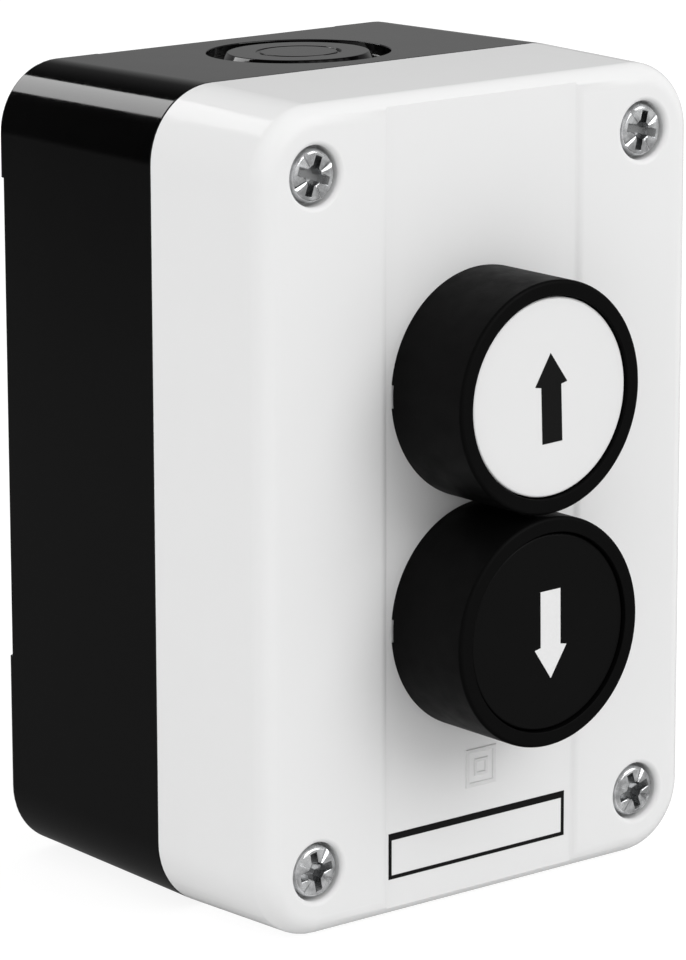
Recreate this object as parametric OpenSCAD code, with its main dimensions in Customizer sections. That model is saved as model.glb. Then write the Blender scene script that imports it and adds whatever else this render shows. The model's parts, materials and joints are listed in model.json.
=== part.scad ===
// Two-button control station in a wall box, millimetres.
// Origin on the wall plane at mid-height, +Z up, the face looks along -Y.
// Sub-parts are drawn lying on their back, with x to the right, y up the wall and z out
// from the wall, and upright() stands them up.

/* [Box] */
// Width of the box at the parting line
box_w = 72; // [70:0.5:90]
// Height of the box at the parting line
box_h = 106; // [105:0.5:140]
// Depth of the rear shell, from the wall to the parting line
rear_d = 32.7; // [31:0.1:45]
// Depth of the cover, from the parting line to its face
cover_d = 21.3; // [19:0.1:30]
// Corner radius seen from the front
corner_r = 9.5; // [8:0.1:11]
// Thickness of the side walls
wall_t = 2.8; // [2.6:0.1:3.4]
// Thickness of the cover's front wall
face_t = 3; // [2.4:0.1:4]
// Thickness of the rear shell's floor
floor_t = 2.5; // [2:0.1:4]
// How much each side of the rear shell leans in towards its back
rear_draft = 0.57; // [0.2:0.01:0.9]
// How much each side of the cover leans in towards its face
cover_draft = 0.5; // [0.2:0.01:0.9]
// Radius of the edge round the face
face_edge_r = 2.8; // [1.5:0.1:3.4]
// Radius of the edge round the back
back_edge_r = 0.6; // [0.3:0.1:1]
// Width of the shallow channel down the face, which takes the heads and the label
channel_w = 31; // [30.4:0.1:36]
// Depth of that channel
channel_d = 0.45; // [0.3:0.05:0.8]
// Width of the rounded step at each side of the channel
channel_edge = 1.4; // [0.8:0.1:2]

/* [Back] */
// Depth of the relief between the wall pads
relief_d = 0.9; // [0.5:0.1:1.2]
// Width of the upright arm of the relief
relief_w = 40; // [30:1:50]
// Upper edge of the relief's cross arm, above mid-height
relief_top = 37.9; // [30:0.1:42]
// Lower edge of the relief's cross arm, below mid-height
relief_low = 25.7; // [20:0.1:42]
// Wall screws, centre to centre across
fix_x = 54; // [44:0.5:56]
// Wall screws, centre to centre up the wall
fix_z = 68; // [60:0.5:69]
// Diameter of the wall screw holes
fix_hole_d = 4.3; // [3.5:0.1:5]
// Diameter of the bosses round them
fix_boss_d = 8.6; // [7.5:0.1:9]
// Height of those bosses above the floor
fix_boss_h = 1.6; // [1:0.1:4]

/* [Cable entries] */
// Distance of an entry's centre from the wall
entry_z = 17.3; // [16.5:0.1:18]
// Outer diameter of the break-out groove
entry_d = 24; // [22:0.1:26]
// Diameter of the break-out disc at the bottom of the groove
entry_disc_d = 20.6; // [19:0.1:21.5]
// Diameter of the disc at its top
entry_top_d = 18.4; // [16:0.1:19]
// Depth of the groove
entry_groove = 1.5; // [1:0.1:1.8]
// Diameter of the drill mark on the disc
entry_mark_d = 10.6; // [6:0.1:14]
// Width of the drill mark
entry_mark_w = 0.5; // [0.3:0.1:1]
// Depth of the drill mark
entry_mark_t = 0.2; // [0.1:0.05:0.4]

/* [Cover screws] */
// Distance of a screw's centre from the sides of the box
screw_inset = 9; // [8.6:0.1:10]
// Diameter of the thread
screw_d = 3.5; // [3:0.1:4]
// Diameter of the head
screw_head_d = 6.8; // [6:0.1:7]
// Height of the head
screw_head_h = 2.6; // [2:0.1:3]
// How far the head lies below the face
screw_sunk = 0.3; // [0.2:0.1:2]
// Length of the screw under its head
screw_l = 30; // [24:0.5:34]
// Diameter of the counterbore in the face
screw_well_d = 7.6; // [7.2:0.1:8]
// Radius of the lip round the counterbore
screw_lip_r = 0.7; // [0.3:0.1:0.8]
// Diameter of the screw posts in the rear shell
rear_post_d = 9.2; // [8:0.1:9.6]
// Diameter of the screw posts in the cover
cover_post_d = 10.4; // [9.6:0.1:11]
// Thickness of the webs that tie the posts to the walls
web_t = 1.8; // [1.2:0.1:3]

/* [Seal between the shells] */
// Width of the outer lip beside the seal
lip_t = 0.8; // [0.6:0.1:1]
// Width of the seal
seal_w = 1.2; // [0.9:0.1:1.3]
// Depth of its groove in the rear shell
seal_rear = 1.2; // [0.8:0.1:2]
// Depth of its groove in the cover
seal_cover = 0.6; // [0.4:0.1:1]

/* [Heads] */
// Distance between the two heads
head_pitch = 30; // [30:0.5:34]
// Diameter of the panel holes
panel_hole_d = 22.3; // [22:0.1:22.6]
// Outer diameter of a bezel
bezel_d = 29.6; // [28.6:0.1:29.8]
// Height of a bezel above the channel
bezel_h = 13.25; // [12.5:0.05:16]
// Radius of the bezel's outer front edge
bezel_edge_r = 0.5; // [0.2:0.1:1]
// Diameter of the bezel's threaded neck
neck_d = 21.8; // [21:0.1:21.9]
// Bore of the neck
neck_bore_d = 18.8; // [18:0.1:19.4]
// Length of the neck behind the channel
neck_l = 13.5; // [12:0.1:15]
// Thickness of the lip at the neck's end, which carries the return spring
neck_lip_t = 2.4; // [1.6:0.1:3]
// Width of the key that stops a bezel turning
key_w = 2.6; // [2:0.1:3.5]
// How far the key stands out from the neck
key_h = 1.3; // [1:0.1:1.6]
// Height of the notch in the bezel's rear edge, along the edge
notch_w = 3; // [2:0.1:4]
// Depth of that notch
notch_d = 0.4; // [0.3:0.05:1]
// Outer diameter of the flat seal under a bezel
flat_seal_d = 27.8; // [26.5:0.1:28]
// Bore of that seal
flat_seal_bore = 24.8; // [24.7:0.1:25.4]
// Thickness of that seal
flat_seal_t = 1.2; // [0.8:0.1:1.5]
// Fixing nut, across its flats
nut_af = 25.4; // [24.6:0.1:25.8]
// Height of the fixing nut
nut_h = 4.5; // [3:0.1:6]

/* [Buttons] */
// Travel of a button
travel = 4.3; // [3:0.1:4.5]
// Diameter of a cap
cap_d = 25.2; // [24:0.1:25.6]
// Gap round a cap
cap_gap = 0.2; // [0.15:0.05:0.4]
// How far a cap lies below the rim
cap_sunk = 0.4; // [0.2:0.05:0.8]
// Thickness of a cap's face
cap_t = 1.8; // [1.2:0.1:2.4]
// Length of a cap's skirt, with the face
cap_skirt = 5.2; // [4:0.1:5.6]
// Thickness of the skirt
cap_skirt_t = 1.2; // [0.8:0.1:2]
// Radius of a cap's front edge
cap_edge_r = 0.3; // [0.1:0.05:0.6]
// Diameter of the plunger's pin in the cap
pin_d = 10; // [8:0.1:11]
// Wall of the cap's socket round that pin
socket_t = 1.5; // [1:0.1:1.8]
// Diameter of the plunger's flange
flange_d = 18.2; // [17.6:0.1:18.6]
// Thickness of the plunger's flange
flange_t = 1.8; // [1.2:0.1:2.4]
// Diameter of the plunger's tube
tube_d = 14.2; // [13:0.1:14.4]
// Wall of the plunger's tube
tube_t = 1.6; // [1.2:0.1:2]
// Length of the snap hooks under the neck
hook_l = 1.8; // [1.2:0.1:2.4]
// How far the snap hooks stand out
hook_out = 0.9; // [0.6:0.1:1.1]
// Diameter of the rod that pushes the contact carrier
rod_d = 5; // [4:0.1:6]
// Return spring, wire diameter
return_wire = 0.8; // [0.6:0.05:0.9]
// Return spring, mean diameter of the coils
return_coil_d = 16.6; // [16.2:0.1:16.9]
// Return spring, number of turns
return_turns = 6; // [5:0.5:7]

/* [Contact blocks] */
// Length of a block
block_l = 40; // [36:0.5:44]
// Width of a block
block_w = 12; // [11:0.1:13]
// Height of a block above the floor
block_h = 22; // [21.5:0.1:23]
// Length of the tower in the middle of a block
tower_l = 18.8; // [18:0.1:20]
// Thickness of the tower's walls and top
tower_t = 1.6; // [1.2:0.1:1.8]
// Width of the chamber in the tower
chamber_w = 6.6; // [6.2:0.1:7.4]
// Thickness of the plate that closes a block's bottom
base_t = 1.4; // [1:0.1:1.8]
// Height of the terminal shelves above the bottom
shelf_h = 5.7; // [5:0.1:6.5]
// Height of the barriers beside the terminals, above the shelves
barrier_h = 6; // [4.5:0.1:8]
// Thickness of those barriers
barrier_t = 1; // [0.8:0.1:1.4]
// Width of the clips that hold a block
clip_w = 8; // [5:0.5:10]
// Thickness of the clips
clip_t = 1.6; // [1.2:0.1:2]
// Height of a clip's hook above the floor
clip_h = 9; // [7:0.1:12]
// How far a clip's hook reaches into the block
clip_bite = 0.7; // [0.4:0.1:0.9]

/* [Contacts] */
// Width of the brass strips
strip_w = 3.6; // [3:0.1:4]
// Thickness of the brass strips
strip_t = 0.8; // [0.6:0.05:1]
// Diameter of the silver tips
tip_d = 2.4; // [1.8:0.1:3]
// Thickness of the silver tips
tip_t = 0.4; // [0.3:0.05:0.6]
// Distance between the tips of one block
tip_gap = 11.6; // [11:0.1:12]
// Length of the contact bridge
bridge_l = 14.6; // [14:0.1:15]
// Length of the carrier along the block
carrier_l = 7; // [6:0.1:7.6]
// Width of the carrier across the block
carrier_w = 5.8; // [5.6:0.1:6]
// Thickness of the bar under the bridge
bar_t = 1.4; // [1:0.1:1.6]
// Shoulder between the carrier and its head, on each side
shoulder_w = 0.6; // [0.4:0.1:0.8]
// Diameter of the peg that guides the carrier's spring
peg_d = 3; // [2.4:0.1:3.2]
// Carrier spring, wire diameter
carrier_wire = 0.5; // [0.4:0.05:0.6]
// Carrier spring, mean diameter of the coils
carrier_coil_d = 4.4; // [4.2:0.1:4.8]
// Carrier spring, number of turns
carrier_turns = 5; // [4:0.5:6]
// Contact spring, wire diameter
contact_wire = 0.35; // [0.3:0.05:0.4]
// Contact spring, mean diameter of the coils
contact_coil_d = 2.8; // [2.4:0.1:3]
// Contact spring, length on the bridge
contact_spring_l = 4.2; // [3.5:0.1:4.6]
// Contact spring, number of turns
contact_turns = 5; // [4:0.5:6]
// Distance of a terminal screw from the end of the block
terminal_in = 5.4; // [4.8:0.1:5.6]
// Diameter of a terminal screw's head
terminal_head_d = 5.6; // [5:0.1:6]
// Height of a terminal screw's head
terminal_head_h = 2; // [1.5:0.1:2.4]
// Diameter of a terminal screw's thread
terminal_d = 3.4; // [3:0.1:3.4]
// Length of a terminal screw under its head
terminal_l = 5.6; // [5:0.1:6]
// Side of a square clamp plate
clamp_w = 6.4; // [6:0.1:7]
// Thickness of a clamp plate
clamp_t = 0.9; // [0.6:0.1:1.2]

/* [Hidden] */
$fn = 96;

// Gap between parts that slide, and between a pressed part and its stop
slide_gap = 0.3;
// Gap between fixed parts that fit into each other
fit_gap = 0.1;
// How far a cutter runs past the face that it opens
past = 1;
// How far a web or post sinks into the wall that carries it
root = 0.5;

// Heights above the wall
floor_z = relief_d + floor_t;
face_z = rear_d + cover_d;
inside_z = face_z - face_t;
seat_z = face_z - channel_d;
head_x = box_w / 2 - screw_inset;
head_y = box_h / 2 - screw_inset;
screw_seat_z = face_z - screw_sunk - screw_head_h;

// Heights of one head
rim_z = seat_z + bezel_h;
cap_z = rim_z - cap_sunk;
skirt_z = cap_z - cap_skirt;
well_z = skirt_z - travel - slide_gap;
neck_z = seat_z - neck_l;
spring_seat_z = neck_z + neck_lip_t;
flange_z = well_z - flange_t;
hook_z = neck_z - fit_gap;
well_d = cap_d + 2 * cap_gap;

// Heights of one contact block
block_z = floor_z + block_h;
base_z = floor_z + base_t;
shelf_z = floor_z + shelf_h;
strip_z = shelf_z + strip_t;
tip_z = strip_z + tip_t;
bridge_z = tip_z + travel + slide_gap + tip_t;
bar_z = bridge_z - bar_t;
window_z = bridge_z + strip_t + contact_spring_l;
chamber_z = block_z - tower_t;
shoulder_z = chamber_z - fit_gap;
carrier_z = block_z + travel + slide_gap;
rod_z = carrier_z + slide_gap;
chamber_l = tower_l - 2 * tower_t;
ledge_x = carrier_l / 2 + 2 * slide_gap;
terminal_x = block_l / 2 - terminal_in;

// Stands a sub-part up against the wall
module upright() {
    rotate([90, 0, 0]) children();
}

// Stands a sub-part up at the upper head (side 1) or the lower head (side -1)
module at_head(side) {
    upright() translate([0, side * head_pitch / 2, 0]) children();
}

// Repeats a shape on the four corners of a rectangle
module four(x, y) {
    for (sx = [-1, 1], sy = [-1, 1]) translate([sx * x, sy * y, 0]) children();
}

// Repeats a shape at both ends of a block
module both_ends() {
    for (turn = [0, 180]) rotate([0, 0, turn]) children();
}

// Box between two heights, centred on the z axis
module slab(l, w, low, high) {
    translate([-l / 2, -w / 2, low]) cube([l, w, high - low]);
}

// Round bar between two heights
module bar(d, low, high) {
    translate([0, 0, low]) cylinder(d = d, h = high - low);
}

// Ring between two heights
module ring(d, bore, low, high) {
    difference() {
        bar(d, low, high);
        bar(bore, low - past, high + past);
    }
}

// Rectangle with round corners, made of true arcs
module round_rect(w, h, r) {
    square([w - 2 * r, h], center = true);
    square([w, h - 2 * r], center = true);
    four(w / 2 - r, h / 2 - r) circle(r = r);
}

// Box with round upright corners between two heights
module round_slab(w, h, r, low, high) {
    translate([0, 0, low]) linear_extrude(high - low) round_rect(w, h, r);
}

// What is cut off a corner at [x, y] of a profile to give it a radius
module corner_cut(x, y, r, side = 1) {
    translate([x - r, y - side * r]) mirror([0, side < 0 ? 1 : 0]) difference() {
        square(r + past);
        circle(r = r);
    }
}

// Solid box whose side profile runs round a rounded rectangle. The profile's x is the
// distance out from the centre of a corner.
module moulded(w, h, r, depth) {
    x = w / 2 - r;
    y = h / 2 - r;
    slab(2 * x, 2 * y, 0, depth);
    for (turn = [0, 180]) rotate([0, 0, turn]) {
        translate([x, y, 0]) rotate_extrude(angle = 90) children();
        translate([-x, y, 0]) rotate([0, 0, 90]) rotate_extrude(angle = 90) children();
        translate([x, y, 0]) rotate([90, 0, 0]) linear_extrude(2 * y) children();
        rotate([0, 0, 90]) translate([y, x, 0]) rotate([90, 0, 0]) linear_extrude(2 * x) children();
    }
}

// Side profile of the rear shell: it leans in towards the back
module rear_profile() {
    back_x = corner_r - rear_draft;
    difference() {
        polygon([[0, 0], [back_x, 0], [corner_r, rear_d], [0, rear_d]]);
        corner_cut(back_x, 0, back_edge_r, -1);
    }
}

// Side profile of the cover: it leans in towards the face, with a tangent radius
module cover_profile() {
    lean = atan(cover_draft / cover_d);
    edge_y = cover_d - face_edge_r;
    edge_x = corner_r - (face_edge_r + edge_y * sin(lean)) / cos(lean);
    tangent = [edge_x + face_edge_r * cos(lean), edge_y + face_edge_r * sin(lean)];
    polygon([[0, 0], [corner_r, 0], tangent, [edge_x, edge_y], [edge_x, cover_d], [0, cover_d]]);
    translate([edge_x, edge_y]) circle(r = face_edge_r);
}

// Hollow inside both shells
module hollow(low, high) {
    round_slab(box_w - 2 * wall_t, box_h - 2 * wall_t, corner_r - wall_t, low, high);
}

// Rounded ring that the seal between the shells fills
module seal_ring(low, high, gap = 0) {
    outer = lip_t - gap;
    inner = lip_t + seal_w + gap;
    translate([0, 0, low]) linear_extrude(high - low) difference() {
        round_rect(box_w - 2 * outer, box_h - 2 * outer, corner_r - outer);
        round_rect(box_w - 2 * inner, box_h - 2 * inner, corner_r - inner);
    }
}

// Post at each screw, with webs to the two walls beside it
module posts(d, low, high) {
    reach = screw_inset - wall_t + root;
    four(head_x, head_y) bar(d, low, high);
    for (sx = [-1, 1], sy = [-1, 1]) translate([sx * head_x, sy * head_y, 0]) {
        translate([sx * reach / 2, 0, 0]) slab(reach, web_t, low, high);
        translate([0, sy * reach / 2, 0]) slab(web_t, reach, low, high);
    }
}

// Clip on the floor that snaps into the side of a contact block
module block_clip() {
    gap = block_w / 2 + fit_gap;
    side = [
        [gap, floor_z - root], [gap + clip_t, floor_z - root],
        [gap + clip_t, floor_z + clip_h + clip_t], [gap, floor_z + clip_h + clip_t],
        [gap - clip_bite, floor_z + clip_h + clip_bite], [gap - clip_bite, floor_z + clip_h],
        [gap, floor_z + clip_h]
    ];
    translate([-clip_w / 2, 0, 0]) rotate([90, 0, 90]) linear_extrude(clip_w) polygon(side);
}

// Groove round a break-out disc, and the drill mark on the disc
module entry_cut() {
    top_r = entry_top_d / 2;
    disc_r = entry_disc_d / 2;
    lean = (disc_r - top_r) / entry_groove;
    surface = box_h / 2 - rear_draft * (1 - entry_z / rear_d);
    mark_r = entry_mark_d / 2;
    translate([0, surface, entry_z]) rotate([-90, 0, 0]) rotate_extrude() {
        polygon([
            [disc_r, -entry_groove], [entry_d / 2, -entry_groove],
            [entry_d / 2, past], [top_r - lean * past, past]
        ]);
        translate([mark_r - entry_mark_w / 2, -entry_mark_t]) square([entry_mark_w, past]);
    }
}

// Relief on the back, which leaves a pad at each corner and a boss round each wall screw
module back_relief() {
    difference() {
        union() {
            slab(relief_w, box_h + past, -past, relief_d);
            translate([0, (relief_top - relief_low) / 2, 0])
                slab(box_w + past, relief_top + relief_low, -past, relief_d);
        }
        four(fix_x / 2, fix_z / 2) bar(fix_boss_d, -2 * past, 2 * relief_d);
    }
}

module rear_shell() {
    color("#1c1c1e") upright() difference() {
        union() {
            difference() {
                moulded(box_w, box_h, corner_r, rear_d) rear_profile();
                hollow(floor_z, rear_d + past);
            }
            posts(rear_post_d, floor_z - root, rear_d);
            four(fix_x / 2, fix_z / 2) bar(fix_boss_d, floor_z - root, floor_z + fix_boss_h);
            for (side = [-1, 1], turn = [0, 180])
                translate([0, side * head_pitch / 2, 0]) rotate([0, 0, turn]) block_clip();
        }
        back_relief();
        seal_ring(rear_d - seal_rear, rear_d + past);
        four(head_x, head_y) bar(screw_d + 2 * fit_gap, screw_seat_z - screw_l - past, rear_d + past);
        four(fix_x / 2, fix_z / 2) bar(fix_hole_d, -past, floor_z + fix_boss_h + past);
        for (turn = [0, 180]) rotate([0, 0, turn]) entry_cut();
    }
}

// Channel down the face, with a rounded step that runs tangent into the face
module channel_cut() {
    edge_r = (channel_edge ^ 2 + channel_d ^ 2) / (2 * channel_d);
    half_w = channel_w / 2 + channel_edge;
    rotate([90, 0, 0]) linear_extrude(box_h + 2 * past, center = true) difference() {
        translate([-half_w, seat_z]) square([2 * half_w, channel_d + past]);
        for (side = [-1, 1]) translate([side * half_w, face_z - edge_r]) circle(r = edge_r);
    }
}

// Counterbore for a screw head, with a round lip
module screw_well() {
    bar(screw_well_d, screw_seat_z, face_z + past);
    translate([0, 0, face_z - screw_lip_r]) rotate_extrude() difference() {
        square([screw_well_d / 2 + screw_lip_r, screw_lip_r + past]);
        translate([screw_well_d / 2 + screw_lip_r, 0]) circle(r = screw_lip_r);
    }
}

module front_cover() {
    key_reach = neck_d / 2 + key_h + 2 * fit_gap;
    color("#e9eaec") upright() difference() {
        union() {
            difference() {
                translate([0, 0, rear_d]) moulded(box_w, box_h, corner_r, cover_d) cover_profile();
                hollow(rear_d - past, inside_z);
            }
            posts(cover_post_d, rear_d, inside_z + root);
        }
        seal_ring(rear_d - past, rear_d + seal_cover);
        channel_cut();
        four(head_x, head_y) {
            bar(screw_d + 4 * fit_gap, rear_d - past, face_z);
            screw_well();
        }
        for (side = [-1, 1]) translate([0, side * head_pitch / 2, 0]) {
            bar(panel_hole_d, inside_z - past, face_z);
            translate([0, key_reach / 2, 0])
                slab(key_w + 4 * fit_gap, key_reach, inside_z - past, face_z);
        }
    }
}

module cover_seal() {
    color("#3a3a3c") upright() seal_ring(rear_d - seal_rear, rear_d + seal_cover);
}

// Pan head screw with a cross recess, head up, seated at z = 0
module cross_screw(d, head_d, head_h, length) {
    slot_w = head_d / 7;
    difference() {
        union() {
            rotate_extrude() difference() {
                square([head_d / 2, head_h]);
                corner_cut(head_d / 2, head_h, head_h / 2);
            }
            bar(d, -length, root);
        }
        for (turn = [0, 90]) rotate([0, 0, turn])
            slab(head_d * 0.6, slot_w, head_h / 2, head_h + past);
    }
}

module cover_screws() {
    color("#c9ccd0") upright() translate([0, 0, screw_seat_z]) four(head_x, head_y)
        cross_screw(screw_d, screw_head_d, screw_head_h, screw_l);
}

module bezel() {
    seal_r = flat_seal_d / 2 + fit_gap;
    seal_in = flat_seal_bore / 2 - fit_gap;
    color("#232325") difference() {
        union() {
            rotate_extrude() difference() {
                polygon([
                    [neck_bore_d / 2, spring_seat_z], [tube_d / 2 + slide_gap, spring_seat_z],
                    [tube_d / 2 + slide_gap, neck_z], [neck_d / 2, neck_z],
                    [neck_d / 2, seat_z], [seal_in, seat_z], [seal_in, seat_z + flat_seal_t],
                    [seal_r, seat_z + flat_seal_t], [seal_r, seat_z], [bezel_d / 2, seat_z],
                    [bezel_d / 2, rim_z], [well_d / 2, rim_z], [well_d / 2, well_z],
                    [neck_bore_d / 2, well_z]
                ]);
                corner_cut(bezel_d / 2, rim_z, bezel_edge_r);
            }
            translate([0, neck_d / 2 + key_h / 2 - root / 2, 0])
                slab(key_w, key_h + root, inside_z + fit_gap, seat_z);
        }
        for (side = [-1, 1]) translate([side * bezel_d / 2, 0, 0])
            slab(bezel_d - flat_seal_d, notch_w, seat_z - past, seat_z + notch_d);
    }
}

module bezel_seal() {
    color("#38383a") ring(flat_seal_d, flat_seal_bore, seat_z, seat_z + flat_seal_t);
}

module fixing_nut() {
    color("#6c6f73") difference() {
        translate([0, 0, inside_z - nut_h])
            cylinder(d = nut_af / cos(30), h = nut_h, $fn = 6);
        bar(neck_d + 2 * fit_gap, inside_z - nut_h - past, inside_z + past);
    }
}

module cap(tint) {
    under_z = cap_z - cap_t;
    socket_z = flange_z + flange_t + fit_gap;
    pin_r = pin_d / 2 + fit_gap / 2;
    color(tint) rotate_extrude() {
        difference() {
            translate([0, skirt_z]) square([cap_d / 2, cap_skirt]);
            translate([0, skirt_z - past])
                square([cap_d / 2 - cap_skirt_t, cap_skirt - cap_t + past]);
            corner_cut(cap_d / 2, cap_z, cap_edge_r);
        }
        translate([pin_r, socket_z]) square([socket_t, under_z + root - socket_z]);
    }
}

module plunger() {
    tube_r = tube_d / 2;
    pin_top = cap_z - cap_t - fit_gap;
    hook_low = hook_z - hook_l;
    color("#d8d4c6") {
        rotate_extrude() {
            translate([0, flange_z]) square([flange_d / 2, flange_t]);
            translate([0, flange_z]) square([pin_d / 2, pin_top - flange_z]);
            translate([tube_r - tube_t, hook_low]) square([tube_t, flange_z - hook_low + root]);
            translate([0, hook_low]) square([tube_r, hook_l]);
            translate([0, rod_z]) square([rod_d / 2, hook_low - rod_z + root]);
        }
        for (turn = [45:90:315]) rotate([0, 0, turn]) rotate([90, 0, 0])
            translate([0, 0, -tube_t]) linear_extrude(2 * tube_t) polygon([
                [tube_r - root, hook_low], [tube_r, hook_low],
                [tube_r + hook_out, hook_z], [tube_r - root, hook_z]
            ]);
    }
}

// Height of a spring's wire after so many turns, with one closed turn at each end
function coil_rise(t, length, wire, turns) =
    let (closed = 1.06 * wire, active = (length - wire - 2 * closed) / (turns - 2))
    wire / 2 + closed * min(t, 1) + active * max(0, min(t - 1, turns - 2))
        + closed * max(0, t - turns + 1);

// Coil spring that stands at height low
module coil_spring(low, length, coil_d, wire, turns, steps = 14, sides = 6) {
    count = round(turns * steps);
    rings = [for (i = [0:count], k = [0:sides - 1])
        let (
            t = i / steps,
            turn = 360 * t,
            around = 360 * k / sides,
            r = coil_d / 2 + wire / 2 * cos(around)
        )
        [r * cos(turn), r * sin(turn), coil_rise(t, length, wire, turns) + wire / 2 * sin(around)]];
    skin = [for (i = [0:count - 1], k = [0:sides - 1])
        let (a = i * sides + k, b = i * sides + (k + 1) % sides)
        [a, b, b + sides, a + sides]];
    ends = [
        [for (k = [sides - 1:-1:0]) k],
        [for (k = [0:sides - 1]) count * sides + k]
    ];
    translate([0, 0, low]) polyhedron(points = rings, faces = concat(skin, ends), convexity = 10);
}

module return_spring() {
    length = flange_z - spring_seat_z - fit_gap;
    color("#b9bcc0")
        coil_spring(spring_seat_z + fit_gap / 2, length, return_coil_d, return_wire, return_turns);
}

// Half of a block's side view, to the right of its middle
module block_side() {
    chamfer = tower_t / 2;
    half = tower_l / 2;
    polygon([
        [0, floor_z], [block_l / 2 - chamfer, floor_z], [block_l / 2, floor_z + chamfer],
        [block_l / 2, shelf_z], [half, shelf_z], [half, block_z - chamfer],
        [half - chamfer, block_z], [0, block_z]
    ]);
}

// Barrier beside a terminal, sloping down to the block's end
module barrier_side() {
    polygon([
        [tower_l / 2 - root, shelf_z - root], [block_l / 2, shelf_z - root],
        [block_l / 2, shelf_z + barrier_h / 3], [tower_l / 2 + barrier_h / 3, shelf_z + barrier_h],
        [tower_l / 2 - root, shelf_z + barrier_h]
    ]);
}

module block_housing() {
    head_l = carrier_l - 2 * shoulder_w;
    head_w = carrier_w - 2 * shoulder_w;
    notch_l = clip_w + 4 * fit_gap;
    color("#2b2d31") difference() {
        both_ends() {
            translate([0, block_w / 2, 0]) rotate([90, 0, 0]) linear_extrude(block_w) block_side();
            for (side = [-1, 1])
                translate([0, side * (block_w - barrier_t) / 2 + barrier_t / 2, 0])
                    rotate([90, 0, 0]) linear_extrude(barrier_t) barrier_side();
        }
        slab(chamber_l, chamber_w, shelf_z, chamber_z);
        slab(2 * ledge_x, chamber_w, floor_z - past, shelf_z + past);
        slab(chamber_l, chamber_w + tower_t, floor_z - past, base_z);
        slab(head_l + slide_gap * 2, head_w + slide_gap * 2, chamber_z - past, block_z + past);
        slab(tower_l + past, strip_w + fit_gap, shelf_z, strip_z + fit_gap);
        both_ends() {
            translate([0, block_w / 2, floor_z + clip_h - fit_gap])
                translate([-notch_l / 2, -clip_bite - fit_gap, 0])
                    cube([notch_l, clip_bite + past, clip_t + 2 * fit_gap]);
            translate([terminal_x, 0, 0])
                bar(terminal_d + fit_gap, strip_z + clamp_t - terminal_l - fit_gap, shelf_z + past);
        }
    }
}

module block_base() {
    color("#3a3d42") slab(chamber_l - fit_gap, chamber_w + tower_t - fit_gap, floor_z, base_z);
}

module contact_carrier() {
    head_l = carrier_l - 2 * shoulder_w;
    head_w = carrier_w - 2 * shoulder_w;
    peg_l = bar_z - base_z - travel - slide_gap;
    color("#3f8f5a") difference() {
        union() {
            slab(carrier_l, carrier_w, bar_z, shoulder_z);
            slab(head_l, head_w, shoulder_z - root, carrier_z);
            bar(peg_d, bar_z - peg_l, bar_z + root);
        }
        slab(carrier_l + past, strip_w + 2 * fit_gap, bridge_z, window_z);
    }
}

module contact_bridge() {
    color("#c79a4b") {
        slab(bridge_l, strip_w, bridge_z, bridge_z + strip_t);
        both_ends() translate([tip_gap / 2, 0, 0]) bar(tip_d, bridge_z - tip_t, bridge_z + tip_t / 2);
    }
}

module contact_spring() {
    color("#b9bcc0") coil_spring(
        bridge_z + strip_t + fit_gap / 2, contact_spring_l - fit_gap,
        contact_coil_d, contact_wire, contact_turns, 10, 5);
}

module carrier_spring() {
    color("#b9bcc0") coil_spring(
        base_z + fit_gap / 2, bar_z - base_z - fit_gap,
        carrier_coil_d, carrier_wire, carrier_turns, 12, 5);
}

module fixed_contacts() {
    inner_x = ledge_x + fit_gap;
    outer_x = terminal_x + clamp_w / 2;
    color("#c79a4b") both_ends() difference() {
        union() {
            translate([inner_x, -strip_w / 2, shelf_z]) cube([outer_x - inner_x, strip_w, strip_t]);
            translate([terminal_x, 0, 0]) slab(clamp_w, clamp_w, shelf_z, strip_z);
            translate([tip_gap / 2, 0, 0]) bar(tip_d, strip_z - tip_t / 2, tip_z);
        }
        translate([terminal_x, 0, 0]) bar(terminal_d + 2 * fit_gap, shelf_z - past, strip_z + past);
    }
}

module terminal_clamps() {
    color("#d0d2d4") both_ends() translate([terminal_x, 0, 0]) difference() {
        slab(clamp_w, clamp_w, strip_z, strip_z + clamp_t);
        bar(terminal_d + 2 * fit_gap, strip_z - past, strip_z + clamp_t + past);
    }
}

module terminal_screws() {
    color("#c9ccd0") both_ends() translate([terminal_x, 0, strip_z + clamp_t])
        cross_screw(terminal_d, terminal_head_d, terminal_head_h, terminal_l);
}

rear_shell();
front_cover();
cover_seal();
cover_screws();
at_head(1) bezel();  // upper_bezel
at_head(1) bezel_seal();  // upper_bezel_seal
at_head(1) fixing_nut();  // upper_fixing_nut
at_head(1) cap("#ececea");  // upper_cap
at_head(1) plunger();  // upper_plunger
at_head(1) return_spring();  // upper_return_spring
at_head(1) block_housing();  // upper_block_housing
at_head(1) block_base();  // upper_block_base
at_head(1) contact_carrier();  // upper_contact_carrier
at_head(1) contact_bridge();  // upper_contact_bridge
at_head(1) contact_spring();  // upper_contact_spring
at_head(1) carrier_spring();  // upper_carrier_spring
at_head(1) fixed_contacts();  // upper_fixed_contacts
at_head(1) terminal_clamps();  // upper_terminal_clamps
at_head(1) terminal_screws();  // upper_terminal_screws
at_head(-1) bezel();  // lower_bezel
at_head(-1) bezel_seal();  // lower_bezel_seal
at_head(-1) fixing_nut();  // lower_fixing_nut
at_head(-1) cap("#1d1d1f");  // lower_cap
at_head(-1) plunger();  // lower_plunger
at_head(-1) return_spring();  // lower_return_spring
at_head(-1) block_housing();  // lower_block_housing
at_head(-1) block_base();  // lower_block_base
at_head(-1) contact_carrier();  // lower_contact_carrier
at_head(-1) contact_bridge();  // lower_contact_bridge
at_head(-1) contact_spring();  // lower_contact_spring
at_head(-1) carrier_spring();  // lower_carrier_spring
at_head(-1) fixed_contacts();  // lower_fixed_contacts
at_head(-1) terminal_clamps();  // lower_terminal_clamps
at_head(-1) terminal_screws();  // lower_terminal_screws
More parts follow.
